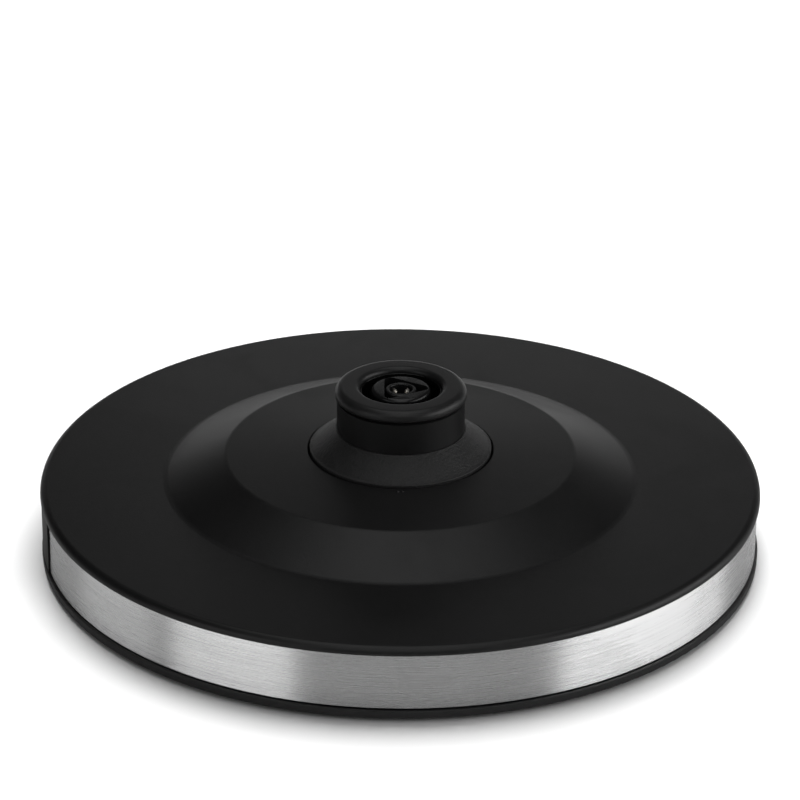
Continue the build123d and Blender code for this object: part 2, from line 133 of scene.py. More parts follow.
def spin_section(bm, turn=360.0, steps=TURN_STEPS, rise=0.0):
    """Spins the section's outline round Z; a rise lifts it as it goes, which winds a coil."""
    bmesh.ops.delete(bm, geom=list(bm.faces), context="FACES_ONLY")
    outline = list(bm.verts) + list(bm.edges)
    bmesh.ops.spin(bm, geom=outline, cent=(0, 0, 0), axis=UP, dvec=(0, 0, rise * MM / steps),
                   angle=math.radians(turn), steps=steps, use_merge=turn == 360.0 and rise == 0.0)
    open_ends = [edge for edge in bm.edges if edge.is_boundary]
    if open_ends:
        bmesh.ops.holes_fill(bm, edges=open_ends, sides=0)
    close_shell(bm)


# %% [markdown]
# ## From bmesh to a finished piece
#
# A moulded piece is smooth along its faces and sharp at its corners.  Smooth shading with edges marked
# sharp by angle says that.  A small rounding beside a wide flat face would still bend the shading of
# the flat face, so a Weighted Normal modifier lets the larger face decide.

# %% Make the object
SHARP_ANGLE = math.radians(34)


def make_piece(name, bm, even=True):
    """Puts the bmesh into a new object at the origin, shaded smooth between its sharp edges."""
    mesh = bpy.data.meshes.new(name)
    bm.to_mesh(mesh)
    bm.free()
    piece = bpy.data.objects.new(name, mesh)
    bpy.context.scene.collection.objects.link(piece)
    shade(piece, even)
    size = Vector(piece.dimensions) / MM
    print(f"{name}: {len(mesh.polygons)} faces, {size.x:.1f} x {size.y:.1f} x {size.z:.1f} mm")
    return piece


def shade(piece, even=True):
    """Smooth between sharp edges, with the widest faces deciding the shading."""
    mesh = piece.data
    mesh.polygons.foreach_set("use_smooth", [True] * len(mesh.polygons))
    mesh.set_sharp_from_angle(angle=SHARP_ANGLE)
    if even:
        weighting = piece.modifiers.new("even_shading", "WEIGHTED_NORMAL")
        weighting.keep_sharp = True


def turn_piece(name, corners, steps=TURN_STEPS):
    """A closed turned piece from its section."""
    bm = bmesh.new()
    draw_section(bm, corners)
    spin_section(bm, steps=steps)
    return make_piece(name, bm)


# %% [markdown]
# ## Cutting and joining
#
# Some shapes are a simple solid with another taken out of it, such as a pocket, or with one grown
# onto it, such as a boss.  A Boolean modifier with the exact solver does both.  The result is made
# the piece's own mesh and the tool is thrown away, so nothing stays behind.


# %% Boolean helper
def combine(piece, tool, operation):
    """Cuts the tool out of the piece, or joins it on, and removes the tool."""
    piece.modifiers.clear()
    boolean = piece.modifiers.new("combine", "BOOLEAN")
    boolean.operation = operation
    boolean.solver = "EXACT"
    boolean.object = tool
    bpy.context.view_layer.update()
    evaluated = piece.evaluated_get(bpy.context.evaluated_depsgraph_get())
    mesh = bpy.data.meshes.new_from_object(evaluated)
    piece.modifiers.clear()
    spent = piece.data
    piece.data = mesh
    bpy.data.meshes.remove(spent)
    mesh.name = piece.name
    bpy.data.objects.remove(tool)
    shade(piece)
    print(f"{piece.name}: {operation.lower()} leaves {len(mesh.polygons)} faces")


# %% [markdown]
# # Finishes
#
# ## Shared effects as node groups
#
# An effect that several finishes share is built once, as a shader node group, and each material places
# it with its own values.  A group only puts out masks and heights.  The shader stays in the material.
#
# The first two helpers keep the groups and materials below short: one makes a group with its sockets,
# and one adds a node and sets its properties.


# %% Node helpers
def new_group(name, inputs, outputs):
    """A shader node group with float inputs (name: value) and float outputs."""
    group = bpy.data.node_groups.new(name, "ShaderNodeTree")
    for label, value in inputs.items():
        socket = group.interface.new_socket(label, in_out="INPUT", socket_type="NodeSocketFloat")
        socket.default_value = value
    for label in outputs:
        group.interface.new_socket(label, in_out="OUTPUT", socket_type="NodeSocketFloat")
    return group, group.nodes.new("NodeGroupInput"), group.nodes.new("NodeGroupOutput")


def add_node(tree, kind, values=(), **settings):
    """A node of the tree, with its properties from settings and its input values by name."""
    node = tree.nodes.new(kind)
    for label, value in settings.items():
        setattr(node, label, value)
    for label, value in dict(values).items():
        node.inputs[label].default_value = value
    return node


def add_math(tree, operation, first, second, clamp=False):
    """A Math node; each operand is a number or an output socket."""
    node = add_node(tree, "ShaderNodeMath", operation=operation, use_clamp=clamp)
    for socket, operand in zip(node.inputs, (first, second)):
        if isinstance(operand, (int, float)):
            socket.default_value = operand
        else:
            tree.links.new(operand, socket)
    return node.outputs[0]


# %% [markdown]
# ## Spark-eroded grain
#
# The mould of a black plastic part is eroded with sparks, which leaves a fine even grain.  It hides
# scratches and makes the plastic satin.  Under a lens it is a field of small rounded bumps with
# smaller ones between them.  Here a noise makes the bumps and a finer noise roughens them.  Object
# coordinates keep the grain the same size on every face, whatever way it points.


# %% Grain group
def build_grain():
    """Puts out the grain's height, and a slow unevenness of the same surface."""
    group, given, put_out = new_group("spark_grain", {"Grain mm": 0.3}, ["Height", "Uneven"])
    place = add_node(group, "ShaderNodeTexCoord").outputs["Object"]
    scale = add_math(group, "DIVIDE", 1000.0, given.outputs["Grain mm"])
    coarse = add_node(group, "ShaderNodeTexNoise", {"Detail": 2.0, "Roughness": 0.6})
    fine = add_node(group, "ShaderNodeTexNoise", {"Detail": 1.0, "Roughness": 0.5})
    slow = add_node(group, "ShaderNodeTexNoise", {"Scale": 38.0, "Detail": 3.0, "Roughness": 0.55})
    for node in (coarse, fine, slow):
        group.links.new(place, node.inputs["Vector"])
    group.links.new(scale, coarse.inputs["Scale"])
    group.links.new(add_math(group, "MULTIPLY", scale, 2.7), fine.inputs["Scale"])
    small = add_math(group, "MULTIPLY", fine.outputs["Fac"], 0.35)
    group.links.new(add_math(group, "ADD", coarse.outputs["Fac"], small), put_out.inputs["Height"])
    group.links.new(slow.outputs["Fac"], put_out.inputs["Uneven"])
    return group


grain_group = build_grain()

# %% [markdown]
# ## Wear along edges
#
# Hands and cloths polish the edges of a piece first.  A Bevel node looks a fraction of a millimetre
# round each point and gives the normal that a rounded edge would have.  Where that differs from the
# true normal there is an edge.  A noise breaks the line up, because no edge wears evenly.


# %% Edge group
def build_edge_wear():
    """Puts out a mask that is 1 on worn edges and 0 on open faces."""
    group, given, put_out = new_group("edge_wear", {"Reach mm": 0.3, "Patchy": 0.6}, ["Mask"])
    reach = add_math(group, "MULTIPLY", given.outputs["Reach mm"], MM)
    rounded = add_node(group, "ShaderNodeBevel", samples=4)
    group.links.new(reach, rounded.inputs["Radius"])
    true_normal = add_node(group, "ShaderNodeNewGeometry").outputs["Normal"]
    likeness = add_node(group, "ShaderNodeVectorMath", operation="DOT_PRODUCT")
    group.links.new(rounded.outputs["Normal"], likeness.inputs[0])
    group.links.new(true_normal, likeness.inputs[1])
    turned_away = add_math(group, "SUBTRACT", 1.0, likeness.outputs["Value"])
    edge = add_math(group, "MULTIPLY", turned_away, 7.0, clamp=True)
    patches = add_node(group, "ShaderNodeTexNoise", {"Scale": 420.0, "Detail": 3.0})
    place = add_node(group, "ShaderNodeTexCoord").outputs["Object"]
    group.links.new(place, patches.inputs["Vector"])
    faded = add_math(group, "MULTIPLY", patches.outputs["Fac"], given.outputs["Patchy"])
    kept = add_math(group, "SUBTRACT", 1.0, faded, clamp=True)
    group.links.new(add_math(group, "MULTIPLY", edge, kept), put_out.inputs["Mask"])
    return group


edge_group = build_edge_wear()

# %% [markdown]
# ## Handling and dust
#
# Satin black plastic shows where it was touched: a faint cloudy film, a little smoother or duller than
# the rest.  It also holds specks of dust that are far smaller than the grain is wide apart.  The film
# is a slow warped noise, and the specks are the few cells of a fine Voronoi pattern that chance picks.


# %% Film and dust group
def build_film():
    """Puts out a soft film mask and a mask of sparse dust specks."""
    group, given, put_out = new_group("film_and_dust", {"Film": 0.5, "Dust": 0.5}, ["Film", "Dust"])
    place = add_node(group, "ShaderNodeTexCoord").outputs["Object"]
    cloud = add_node(group, "ShaderNodeTexNoise", {"Scale": 24.0, "Detail": 4.0, "Distortion": 1.2})
    cells = add_node(group, "ShaderNodeTexVoronoi", {"Scale": 520.0})
    for node in (cloud, cells):
        group.links.new(place, node.inputs["Vector"])
    lifted = add_math(group, "SUBTRACT", cloud.outputs["Fac"], 0.52)
    soft = add_math(group, "MULTIPLY", lifted, 5.0, clamp=True)
    group.links.new(add_math(group, "MULTIPLY", soft, given.outputs["Film"]), put_out.inputs["Film"])
    split = add_node(group, "ShaderNodeSeparateColor")
    group.links.new(cells.outputs["Color"], split.inputs["Color"])
    chosen = add_math(group, "GREATER_THAN", split.outputs["Red"], 0.985)
    near = add_math(group, "LESS_THAN", cells.outputs["Distance"], 0.12)
    speck = add_math(group, "MULTIPLY", chosen, near)
    group.links.new(add_math(group, "MULTIPLY", speck, given.outputs["Dust"]), put_out.inputs["Dust"])
    return group


film_group = build_film()

# %% [markdown]
# ## Brushing
#
# The strip of steel is brushed before it is bent, so its scratches run along it, right round the base.
# A noise that is squeezed very hard in height and hardly at all across makes long level lines, and
# two sizes of line are laid over each other.  A slow noise adds the broad stripes of a worn brush.


# %% Brushing group
def build_brushing():
    """Puts out the height of level brush lines and a slower streak mask."""
    group, given, put_out = new_group("level_brushing", {"Line mm": 0.12}, ["Height", "Streak"])
    place = add_node(group, "ShaderNodeTexCoord").outputs["Object"]
    rate = add_math(group, "DIVIDE", 1000.0, given.outputs["Line mm"])
    squeeze = add_node(group, "ShaderNodeCombineXYZ", {"X": 60.0, "Y": 60.0})
    group.links.new(rate, squeeze.inputs["Z"])
    drawn = add_node(group, "ShaderNodeVectorMath", operation="MULTIPLY")
    group.links.new(place, drawn.inputs[0])
    group.links.new(squeeze.outputs["Vector"], drawn.inputs[1])
    lines = add_node(group, "ShaderNodeTexNoise", {"Scale": 1.0, "Detail": 3.0, "Roughness": 0.7})
    broad = add_node(group, "ShaderNodeTexNoise", {"Scale": 0.21, "Detail": 2.0, "Roughness": 0.6})
    for node in (lines, broad):
        group.links.new(drawn.outputs["Vector"], node.inputs["Vector"])
    group.links.new(lines.outputs["Fac"], put_out.inputs["Height"])
    group.links.new(broad.outputs["Fac"], put_out.inputs["Streak"])
    return group


brushing_group = build_brushing()

# %% [markdown]
# ## A recipe for moulded and rubber finishes
#
# All the black mouldings share one recipe: grain for bump, an uneven tone, edges that are polished
# lighter and smoother, a film from handling and a little dust.  The numbers make each one different.
# Colours that never change over the surface are not mixed in; only their variation is.


# %% Moulded finish
def place_group(tree, group, **values):
    """A group node in a material, with its inputs set by name."""
    node = add_node(tree, "ShaderNodeGroup", node_tree=group)
    for label, value in values.items():
        node.inputs[label.replace("_", " ")].default_value = value
    return node


def start_material(name):
    """A new material with a Principled shader."""
    material = bpy.data.materials.new(name)
    material.use_nodes = True
    tree = material.node_tree
    shader = next(node for node in tree.nodes if node.type == "BSDF_PRINCIPLED")
    return material, tree, shader


def tone_between(tree, factor, dark, light):
    """A colour that moves from dark to light with the factor."""
    mix = add_node(tree, "ShaderNodeMix", data_type="RGBA")
    mix.inputs["A"].default_value = (*dark, 1.0)
    mix.inputs["B"].default_value = (*light, 1.0)
    tree.links.new(factor, mix.inputs["Factor"])
    return mix.outputs["Result"]


def moulded_finish(name, tone, roughness, grain, depth, film=0.5, dust=0.4):
    """A black moulding: tone and roughness at rest, grain size and depth in millimetres."""
    material, tree, shader = start_material(name)
    skin = place_group(tree, grain_group, Grain_mm=grain)
    worn = place_group(tree, edge_group, Reach_mm=0.3)
    touched = place_group(tree, film_group, Film=film, Dust=dust)
    # tone: uneven pigment, then lighter on worn edges and dust
    pigment = add_math(tree, "MULTIPLY", skin.outputs["Uneven"], 0.22)
    marks = add_math(tree, "MULTIPLY", worn.outputs["Mask"], 0.35)
    uneven_tone = add_math(tree, "ADD", pigment, marks)
    lighter = add_math(tree, "ADD", uneven_tone, touched.outputs["Dust"], clamp=True)
    light = tuple(min(1.0, channel * 2.5 + 0.004) for channel in tone)
    tree.links.new(tone_between(tree, lighter, tone, light), shader.inputs["Base Color"])
    # gloss: duller where filmed or dusty, smoother on worn edges
    filmed = add_math(tree, "MULTIPLY", touched.outputs["Film"], 0.10)
    uneven = add_math(tree, "MULTIPLY", skin.outputs["Uneven"], 0.10)
    rougher = add_math(tree, "ADD", add_math(tree, "ADD", filmed, uneven), roughness - 0.05)
    polished = add_math(tree, "MULTIPLY", worn.outputs["Mask"], 0.12)
    tree.links.new(add_math(tree, "SUBTRACT", rougher, polished, clamp=True), shader.inputs["Roughness"])
    # grain as bump
    bump = add_node(tree, "ShaderNodeBump", {"Strength": 0.9, "Distance": depth * MM})
    tree.links.new(skin.outputs["Height"], bump.inputs["Height"])
    tree.links.new(bump.outputs["Normal"], shader.inputs["Normal"])
    return material


# gloss levels: full for open faces, and a low one that paints shade on the wall below the lip
FULL_SPECULAR = 0.5
SHADED_WALL_SPECULAR = 0.08


def painted_shade_below(material, height):
    """Takes most of the gloss off a finish below a height in millimetres, as painted shade."""
    tree = material.node_tree
    shader = next(node for node in tree.nodes if node.type == "BSDF_PRINCIPLED")
    place = add_node(tree, "ShaderNodeTexCoord").outputs["Object"]
    parts = add_node(tree, "ShaderNodeSeparateXYZ")
    tree.links.new(place, parts.inputs[0])
    below = add_math(tree, "LESS_THAN", parts.outputs["Z"], height * MM)
    lost = add_math(tree, "MULTIPLY", below, SHADED_WALL_SPECULAR - FULL_SPECULAR)
    level = add_math(tree, "ADD", lost, FULL_SPECULAR, True)
    tree.links.new(level, shader.inputs["Specular IOR Level"])


BLACK = (0.0060, 0.0060, 0.0062)
cover_black = moulded_finish("satin_cover_black", BLACK, 0.41, 0.40, 0.028, film=0.6)
skirt_black = moulded_finish("coarse_skirt_black", (0.017, 0.017, 0.0172), 0.48, 0.62, 0.240)
tower_black = moulded_finish("fine_tower_black", (0.005, 0.005, 0.0052), 0.46, 0.20, 0.020)
cap_black = moulded_finish("satin_cap_black", (0.011, 0.011, 0.0112), 0.40, 0.38, 0.036)
channel_black = moulded_finish("glossy_channel_black", (0.004, 0.004, 0.004), 0.16, 0.30, 0.004, film=0.2)
island_black = moulded_finish("island_black", (0.010, 0.010, 0.0102), 0.27, 0.24, 0.012)
plate_black = moulded_finish("base_plate_black", BLACK, 0.48, 0.30, 0.030, film=0.4)
# painted shade: the wall under the cover's lip loses most of its gloss, so it stays dark as a shaded wall
# does
painted_shade_below(cover_black, span("steel_band")[1].z + 0.04)
carrier_brown = moulded_finish("carrier_dark_brown", (0.030, 0.022, 0.017), 0.52, 0.30, 0.020)
rubber_black = moulded_finish("soft_rubber_black", (0.012, 0.012, 0.012), 0.72, 0.18, 0.030, dust=0.8)

# %% [markdown]
# ## Brushed steel
#
# Brushed metal scatters light across its scratches and not along them.  The scratches run round the
# base, so a light is smeared up and down the strip, and the strip is bright wherever any light stands
# in that direction.  An anisotropic shader does this, with a tangent that runs round Z.  Bump adds
# the lines themselves, and the streak mask varies how dull they are.


# %% Steel band finish
def brushed_steel_finish():
    """The band's stainless steel."""
    material, tree, shader = start_material("brushed_stainless")
    brush = place_group(tree, brushing_group, Line_mm=0.09)
    worn = place_group(tree, edge_group, Reach_mm=0.12, Patchy=0.3)
    touched = place_group(tree, film_group, Film=0.6, Dust=0.2)
    edge_shine = add_math(tree, "MULTIPLY", worn.outputs["Mask"], 0.5)
    streaks = add_math(tree, "ADD", brush.outputs["Streak"], edge_shine, True)
    colour = tone_between(tree, streaks, (0.60, 0.60, 0.605), (0.74, 0.74, 0.74))
    tree.links.new(colour, shader.inputs["Base Color"])
    dull = add_math(tree, "MULTIPLY", brush.outputs["Streak"], 0.04)
    film = add_math(tree, "MULTIPLY", touched.outputs["Film"], 0.06)
    lines = add_math(tree, "MULTIPLY", brush.outputs["Height"], 0.12)
    rough = add_math(tree, "ADD", add_math(tree, "ADD", dull, film), lines)
    tree.links.new(add_math(tree, "ADD", rough, 0.19, True), shader.inputs["Roughness"])
    bump = add_node(tree, "ShaderNodeBump", {"Strength": 0.15, "Distance": 0.004 * MM})
    tree.links.new(brush.outputs["Height"], bump.inputs["Height"])
    tree.links.new(bump.outputs["Normal"], shader.inputs["Normal"])
    round_z = add_node(tree, "ShaderNodeTangent", direction_type="RADIAL", axis="Z")
    tree.links.new(round_z.outputs["Tangent"], shader.inputs["Tangent"])
    shader.inputs["Metallic"].default_value = 1.0
    shader.inputs["Anisotropic"].default_value = 0.99
    shader.inputs["Anisotropic Rotation"].default_value = 0.25
    return material


steel_finish = brushed_steel_finish()

# %% [markdown]
# ## Small metal parts
#
# The contacts are silver-faced brass, the spring is drawn stainless wire and the screws are zinc
# plated.  All three are metals with a faint mottle: plating and handling leave patches that are a
# little warmer and duller.  One recipe serves them, with its own colours and gloss for each.


# %% Plated finish
def plated_finish(name, dark, light, roughness, grain):
    """A small plated or drawn metal part."""
    material, tree, shader = start_material(name)
    skin = place_group(tree, grain_group, Grain_mm=grain)
    worn = place_group(tree, edge_group, Reach_mm=0.1)
    touched = place_group(tree, film_group, Film=1.0, Dust=0.0)
    mottle = add_math(tree, "ADD", skin.outputs["Uneven"], worn.outputs["Mask"], True)
    tree.links.new(tone_between(tree, mottle, dark, light), shader.inputs["Base Color"])
    film = add_math(tree, "MULTIPLY", touched.outputs["Film"], 0.15)
    rough = add_math(tree, "ADD", add_math(tree, "MULTIPLY", skin.outputs["Height"], 0.10), film)
    tree.links.new(add_math(tree, "ADD", rough, roughness, True), shader.inputs["Roughness"])
    bump = add_node(tree, "ShaderNodeBump", {"Strength": 0.3, "Distance": 0.006 * MM})
    tree.links.new(skin.outputs["Height"], bump.inputs["Height"])
    tree.links.new(bump.outputs["Normal"], shader.inputs["Normal"])
    shader.inputs["Metallic"].default_value = 1.0
    return material


silver_faced = plated_finish("silver_faced_contact", (0.60, 0.55, 0.46), (0.82, 0.80, 0.76), 0.20, 0.20)
drawn_wire = plated_finish("drawn_spring_wire", (0.42, 0.42, 0.43), (0.62, 0.62, 0.63), 0.26, 0.15)
zinc_plate = plated_finish("zinc_plated_screw", (0.42, 0.43, 0.46), (0.66, 0.67, 0.70), 0.28, 0.25)

# %% [markdown]
# # The pieces
#
# ## Wearing a finish and joining the frame
#
# Three things are said about every piece: what it looks like, which body it moves with, and which CAD
# nodes it stands for.  One helper says them together, so none is forgotten.


# %% Fit a piece into the frame
def fit(piece, finish, slot, body, *nodes):
    """Gives a new piece its finish, its body and the nodes that it stands for; slot is not used."""
    piece.data.materials.clear()
    piece.data.materials.append(finish)
    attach(piece, body)
    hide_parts(*nodes)


# %% [markdown]
# ## The top cover
#
# One moulding makes the seat ring, the slope up to the raised middle, and the side wall behind the
# steel strip.  In the CAD it is two nodes, because the middle needs its own collision shapes, but on
# the real base there is no joint between them.  So it is turned here from one section, and the
# shading runs across without a line.

# %% Turn the cover
cover_low, cover_high = span("top_cover")
crown_low, crown_high = span("crown")
band_low, band_high = span("steel_band")
seat_z = cover_high.z
lip_r = cover_high.x
lip_z = band_high.z + 0.05
wall_r = band_high.x - 0.48
crown_z = crown_high.z - 0.15
ring_low, ring_high = span("fixing_ring")
OPENING_R = 22.2
PLATEAU_R = 41.9
SLOPE_FOOT_R = 56.4
COLLAR_R = 24.0

cover = turn_piece("cover", [
    (OPENING_R, crown_z, 0.35),
    (PLATEAU_R, crown_z - 1.0, 2.5),
    (SLOPE_FOOT_R, seat_z, 4.0),
    (lip_r, seat_z, 1.75),
    (lip_r, lip_z),
    (wall_r, lip_z),
    (wall_r, cover_low.z),
    (wall_r - 2.0, cover_low.z),
    (wall_r - 2.0, lip_z),
    (SLOPE_FOOT_R + 0.4, lip_z),
    (PLATEAU_R + 0.3, crown_z - 2.8),
    (COLLAR_R, crown_z - 1.9),
    (COLLAR_R, ring_high.z),
    (OPENING_R, ring_high.z),
])

# %% [markdown]
# ## The bare stretch at the cord outlet
#
# The steel strip doesn't go all the way round.  It stops on both sides of the cord outlet, and there
# the wall behind it is thicker, and stands a little proud of the steel.  That is a short length of a
# turned ring, so the same section tool makes it with less than a full turn.  The rubber gland for the
# cord sits in a round recess in it.

# %% Join the outlet wall and cut the gland's recess
gland_low, gland_high = span("cord_gland")
gland_middle = (gland_low + gland_high) / 2
OUTLET_AZIMUTH = math.degrees(math.atan2(gland_middle.y, gland_middle.x))
OUTLET_HALF = 31.5
OUTLET_WALL_R = 86.2
CORD_Z = gland_middle.z


def about_z(degrees):
    """A turn about Z."""
    return Matrix.Rotation(math.radians(degrees), 4, "Z")


def outlet_wall():
    """The thicker stretch of side wall."""
    bm = bmesh.new()
    overlap = 0.6
    draw_section(bm, [(wall_r - overlap, cover_low.z), (OUTLET_WALL_R, cover_low.z, 0.2),
                      (OUTLET_WALL_R, lip_z + 0.2), (wall_r - overlap, lip_z + 0.2)])
    spin_section(bm, turn=2 * OUTLET_HALF, steps=63)
    bmesh.ops.rotate(bm, verts=list(bm.verts), cent=(0, 0, 0),
                     matrix=about_z(OUTLET_AZIMUTH - OUTLET_HALF).to_3x3())
    return make_piece("outlet_wall", bm, even=False)


def outlet_drill(name, radius, start, end):
    """A round bar that lies along the cord's way out, to drill with."""
    bm = bmesh.new()
    bmesh.ops.create_cone(bm, cap_ends=True, segments=64, radius1=radius * MM, radius2=radius * MM,
                          depth=(end - start) * MM)
    lie_down = Matrix.Rotation(math.radians(90), 4, "Y")
    out = Matrix.Translation(((start + end) / 2 * MM, 0, CORD_Z * MM))
    bm.transform(about_z(OUTLET_AZIMUTH) @ out @ lie_down)
    return make_piece(name, bm, even=False)


OUTSIDE_R = 88.0
RECESS_FLOOR_R = 84.6
INSIDE_R = 78.0

combine(cover, outlet_wall(), "UNION")
combine(cover, outlet_drill("recess_drill", 6.1, RECESS_FLOOR_R, OUTSIDE_R), "DIFFERENCE")
combine(cover, outlet_drill("neck_drill", 4.75, INSIDE_R, OUTSIDE_R), "DIFFERENCE")

# %% [markdown]
# ## Two alignment dots
#
# In front of the connector the cover has two tiny raised dots, side by side.  Each is a squashed
# ball sunk halfway into the surface and joined on.


# %% Raise the dots
DOT_R = 0.4
DOT_SIDEWAYS = 0.55
DOT_FORWARD = 23.5


def alignment_dot(side):
    """A low dome in front of the connector."""
    bm = bmesh.new()
    bmesh.ops.create_uvsphere(bm, u_segments=20, v_segments=12, radius=DOT_R * MM)
    bmesh.ops.scale(bm, vec=(1, 1, 0.8), verts=list(bm.verts))
    spot = Vector((side * DOT_SIDEWAYS, -DOT_FORWARD, crown_high.z - 0.32))
    bmesh.ops.translate(bm, vec=spot * MM, verts=list(bm.verts))
    return make_piece("dot", bm, even=False)


for side in (-1, 1):
    combine(cover, alignment_dot(side), "UNION")

fit(cover, cover_black, "cover_plastic", "base", "top_cover", "crown")

# %% [markdown]
# ## The steel strip
#
# The real strip is cut flat with rounded corners, brushed, bent round and pressed onto the wall.  It
# is made the same way here.  One flat face gets its corners rounded by a vertex bevel.  Planes cut it
# into narrow columns, because a single face can't bend.  Then every vertex is carried round the base
# by its distance along the strip, the sheet is given its thickness, and its rim is broken by a fine
# bevel, which is what catches the light along the top and bottom.

# %% Cut, bend and thicken the strip
BAND_COLUMNS = 300
BAND_THICK = 0.46


def steel_strip():
    """The brushed strip, from one flat face."""
    bm = bmesh.new()
    gap = OUTLET_HALF + 0.25
    start = OUTLET_AZIMUTH + gap
    radius = band_high.x
    length = math.radians(360 - 2 * gap) * radius
    corners = [(0, band_low.z), (length, band_low.z), (length, band_high.z), (0, band_high.z)]
    verts = [bm.verts.new((x * MM, 0, z * MM)) for x, z in corners]
    bm.faces.new(verts)
    bmesh.ops.bevel(bm, geom=verts, offset=1.6 * MM, offset_type="OFFSET", segments=6, profile=0.5,
                    affect="VERTICES", material=-1)
    for column in range(1, BAND_COLUMNS):
        cut = (length * column / BAND_COLUMNS * MM, 0, 0)
        bmesh.ops.bisect_plane(bm, geom=list(bm.verts) + list(bm.edges) + list(bm.faces), dist=1e-8,
                               plane_co=cut, plane_no=(1, 0, 0))
    for vert in bm.verts:
        angle = math.radians(start) + vert.co.x / (radius * MM)
        vert.co = Vector((math.cos(angle) * radius * MM, math.sin(angle) * radius * MM, vert.co.z))
    bmesh.ops.recalc_face_normals(bm, faces=list(bm.faces))
    if bm.faces[:][0].normal.dot(bm.faces[:][0].calc_center_median()) < 0:
        bmesh.ops.reverse_faces(bm, faces=list(bm.faces))
    bmesh.ops.solidify(bm, geom=list(bm.faces), thickness=BAND_THICK * MM)
    sharp = math.radians(50)
    rim = [edge for edge in bm.edges if len(edge.link_faces) == 2 and edge.calc_face_angle() > sharp]
    bmesh.ops.bevel(bm, geom=rim, offset=0.09 * MM, offset_type="OFFSET", segments=2, profile=0.5,
                    affect="EDGES", material=-1)
    bmesh.ops.recalc_face_normals(bm, faces=list(bm.faces))
    return make_piece("brushed_band", bm)


band = steel_strip()
fit(band, steel_finish, "band_steel", "base", "steel_band")

# %% [markdown]
# ## The connector's skirt, tower and cap
#
# Three mouldings stack up in the middle.  The skirt is a cone that fills the hole in the cover.  The
# tower stands in it and steps in a little at its foot.  The cap closes the tower, with a rounded
# shoulder outside and a smaller rounding at the mouth that leads the kettle's plug in.  The tower's
# wall stops short of the cap and slopes in, which leaves the dark seam.  Each is its own closed piece.

# %% Turn the skirt, tower and cap
skirt_low, skirt_high = span("connector_skirt")
tower_low, tower_high = span("connector_tower")
cap_low, cap_high = span("connector_cap")
liner_low, liner_high = span("channel_liner")
step_r = tower_high.x - 0.8
mouth_r = liner_high.x - 1.17
socket_r = liner_high.x - 0.45
TOWER_WALL_R = 15.3
TOWER_INNER_R = 13.9
TOWER_FLOOR_R = 7.4
SEAM_DEPTH = 0.7
SKIRT_THICK = 1.8
CAP_R = 15.75
CAP_SPIGOT_R = 12.4

skirt = turn_piece("skirt", [
    (skirt_high.x, skirt_low.z),
    (skirt_high.x, skirt_low.z + 5.95, 0.25),
    (skirt_high.x - 0.9, skirt_low.z + 6.1),
    (tower_high.x, skirt_high.z, 0.1),
    (step_r, skirt_high.z),
    (step_r, skirt_high.z - 2.4),
    (skirt_high.x - SKIRT_THICK, skirt_low.z + 4.2),
    (skirt_high.x - SKIRT_THICK, skirt_low.z),
])
tower = turn_piece("tower", [
    (step_r, liner_low.z - 1.5),
    (step_r, skirt_high.z),
    (TOWER_WALL_R, skirt_high.z, 0.1),
    (TOWER_WALL_R, tower_high.z - SEAM_DEPTH),
    (TOWER_WALL_R - SEAM_DEPTH, tower_high.z - SEAM_DEPTH / 2),
    (TOWER_WALL_R - SEAM_DEPTH, tower_high.z),
    (TOWER_INNER_R, tower_high.z),
    (TOWER_INNER_R, liner_low.z),
    (TOWER_FLOOR_R, liner_low.z),
    (TOWER_FLOOR_R, liner_low.z - 1.5),
])
cap = turn_piece("cap", [
    (CAP_R, tower_high.z, 0.5),
    (CAP_R, cap_high.z, 1.9),
    (mouth_r + 0.15, cap_high.z, 1.3),
    (mouth_r + 0.15, cap_high.z - 1.7),
    (socket_r, cap_high.z - 1.7),
    (socket_r, liner_high.z),
    (CAP_SPIGOT_R, liner_high.z),
    (CAP_SPIGOT_R, cap_low.z),
    (TOWER_INNER_R - 0.1, cap_low.z),
    (TOWER_INNER_R - 0.1, tower_high.z),
])
fit(skirt, skirt_black, "connector_plastic", "base", "connector_skirt")
fit(tower, tower_black, "connector_plastic", "base", "connector_tower")
fit(cap, cap_black, "connector_plastic", "base", "connector_cap")

# %% [markdown]
# ## The channel's liner
#
# A glossy tube lines the ring channel that the kettle's plug drops into.  A narrow rim at its top
# stands inside the cap's mouth, to catch a glint.  Two windows lower in its wall let the ring
# contacts bow through.  The tube is turned, and each window is cut with a block.

# %% Turn the liner and cut its windows
NEUTRAL_TURN = 330
EARTH_TURN = 210
WINDOW_SIZE = (4.0, 5.8, 7.2)
WINDOW_Z = 34.6


def window_block(turn):
    """A block that cuts one window through the liner's wall."""
    bm = bmesh.new()
    bmesh.ops.create_cube(bm, size=1.0)
    bmesh.ops.scale(bm, vec=Vector(WINDOW_SIZE) * MM, verts=list(bm.verts))
    bmesh.ops.translate(bm, vec=(liner_high.x * MM, 0, WINDOW_Z * MM), verts=list(bm.verts))
    bm.transform(about_z(turn))
    return make_piece("window_block", bm, even=False)


liner = turn_piece("liner", [
    (mouth_r, liner_low.z),
    (liner_high.x, liner_low.z),
    (liner_high.x, liner_high.z),
    (liner_high.x - 0.5, liner_high.z),
    (liner_high.x - 0.5, cap_high.z - 1.75),
    (mouth_r + 0.05, cap_high.z - 1.75),
    (mouth_r + 0.05, cap_high.z - 1.3, 0.1),
    (mouth_r - 0.25, cap_high.z - 1.3, 0.12),
    (mouth_r - 0.25, cap_high.z - 2.4, 0.4),
    (mouth_r, cap_high.z - 3.0),
], steps=192)
for turn in (NEUTRAL_TURN, EARTH_TURN):
    combine(liner, window_block(turn), "DIFFERENCE")
fit(liner, channel_black, "connector_plastic", "base", "channel_liner")

# %% [markdown]
# ## The hub
#
# A fixed post stands in the very middle, with a hole for the kettle's centre pin.  Three keys on its
# side guide the sprung island.  It is turned, and the keys are small blocks that are joined on.

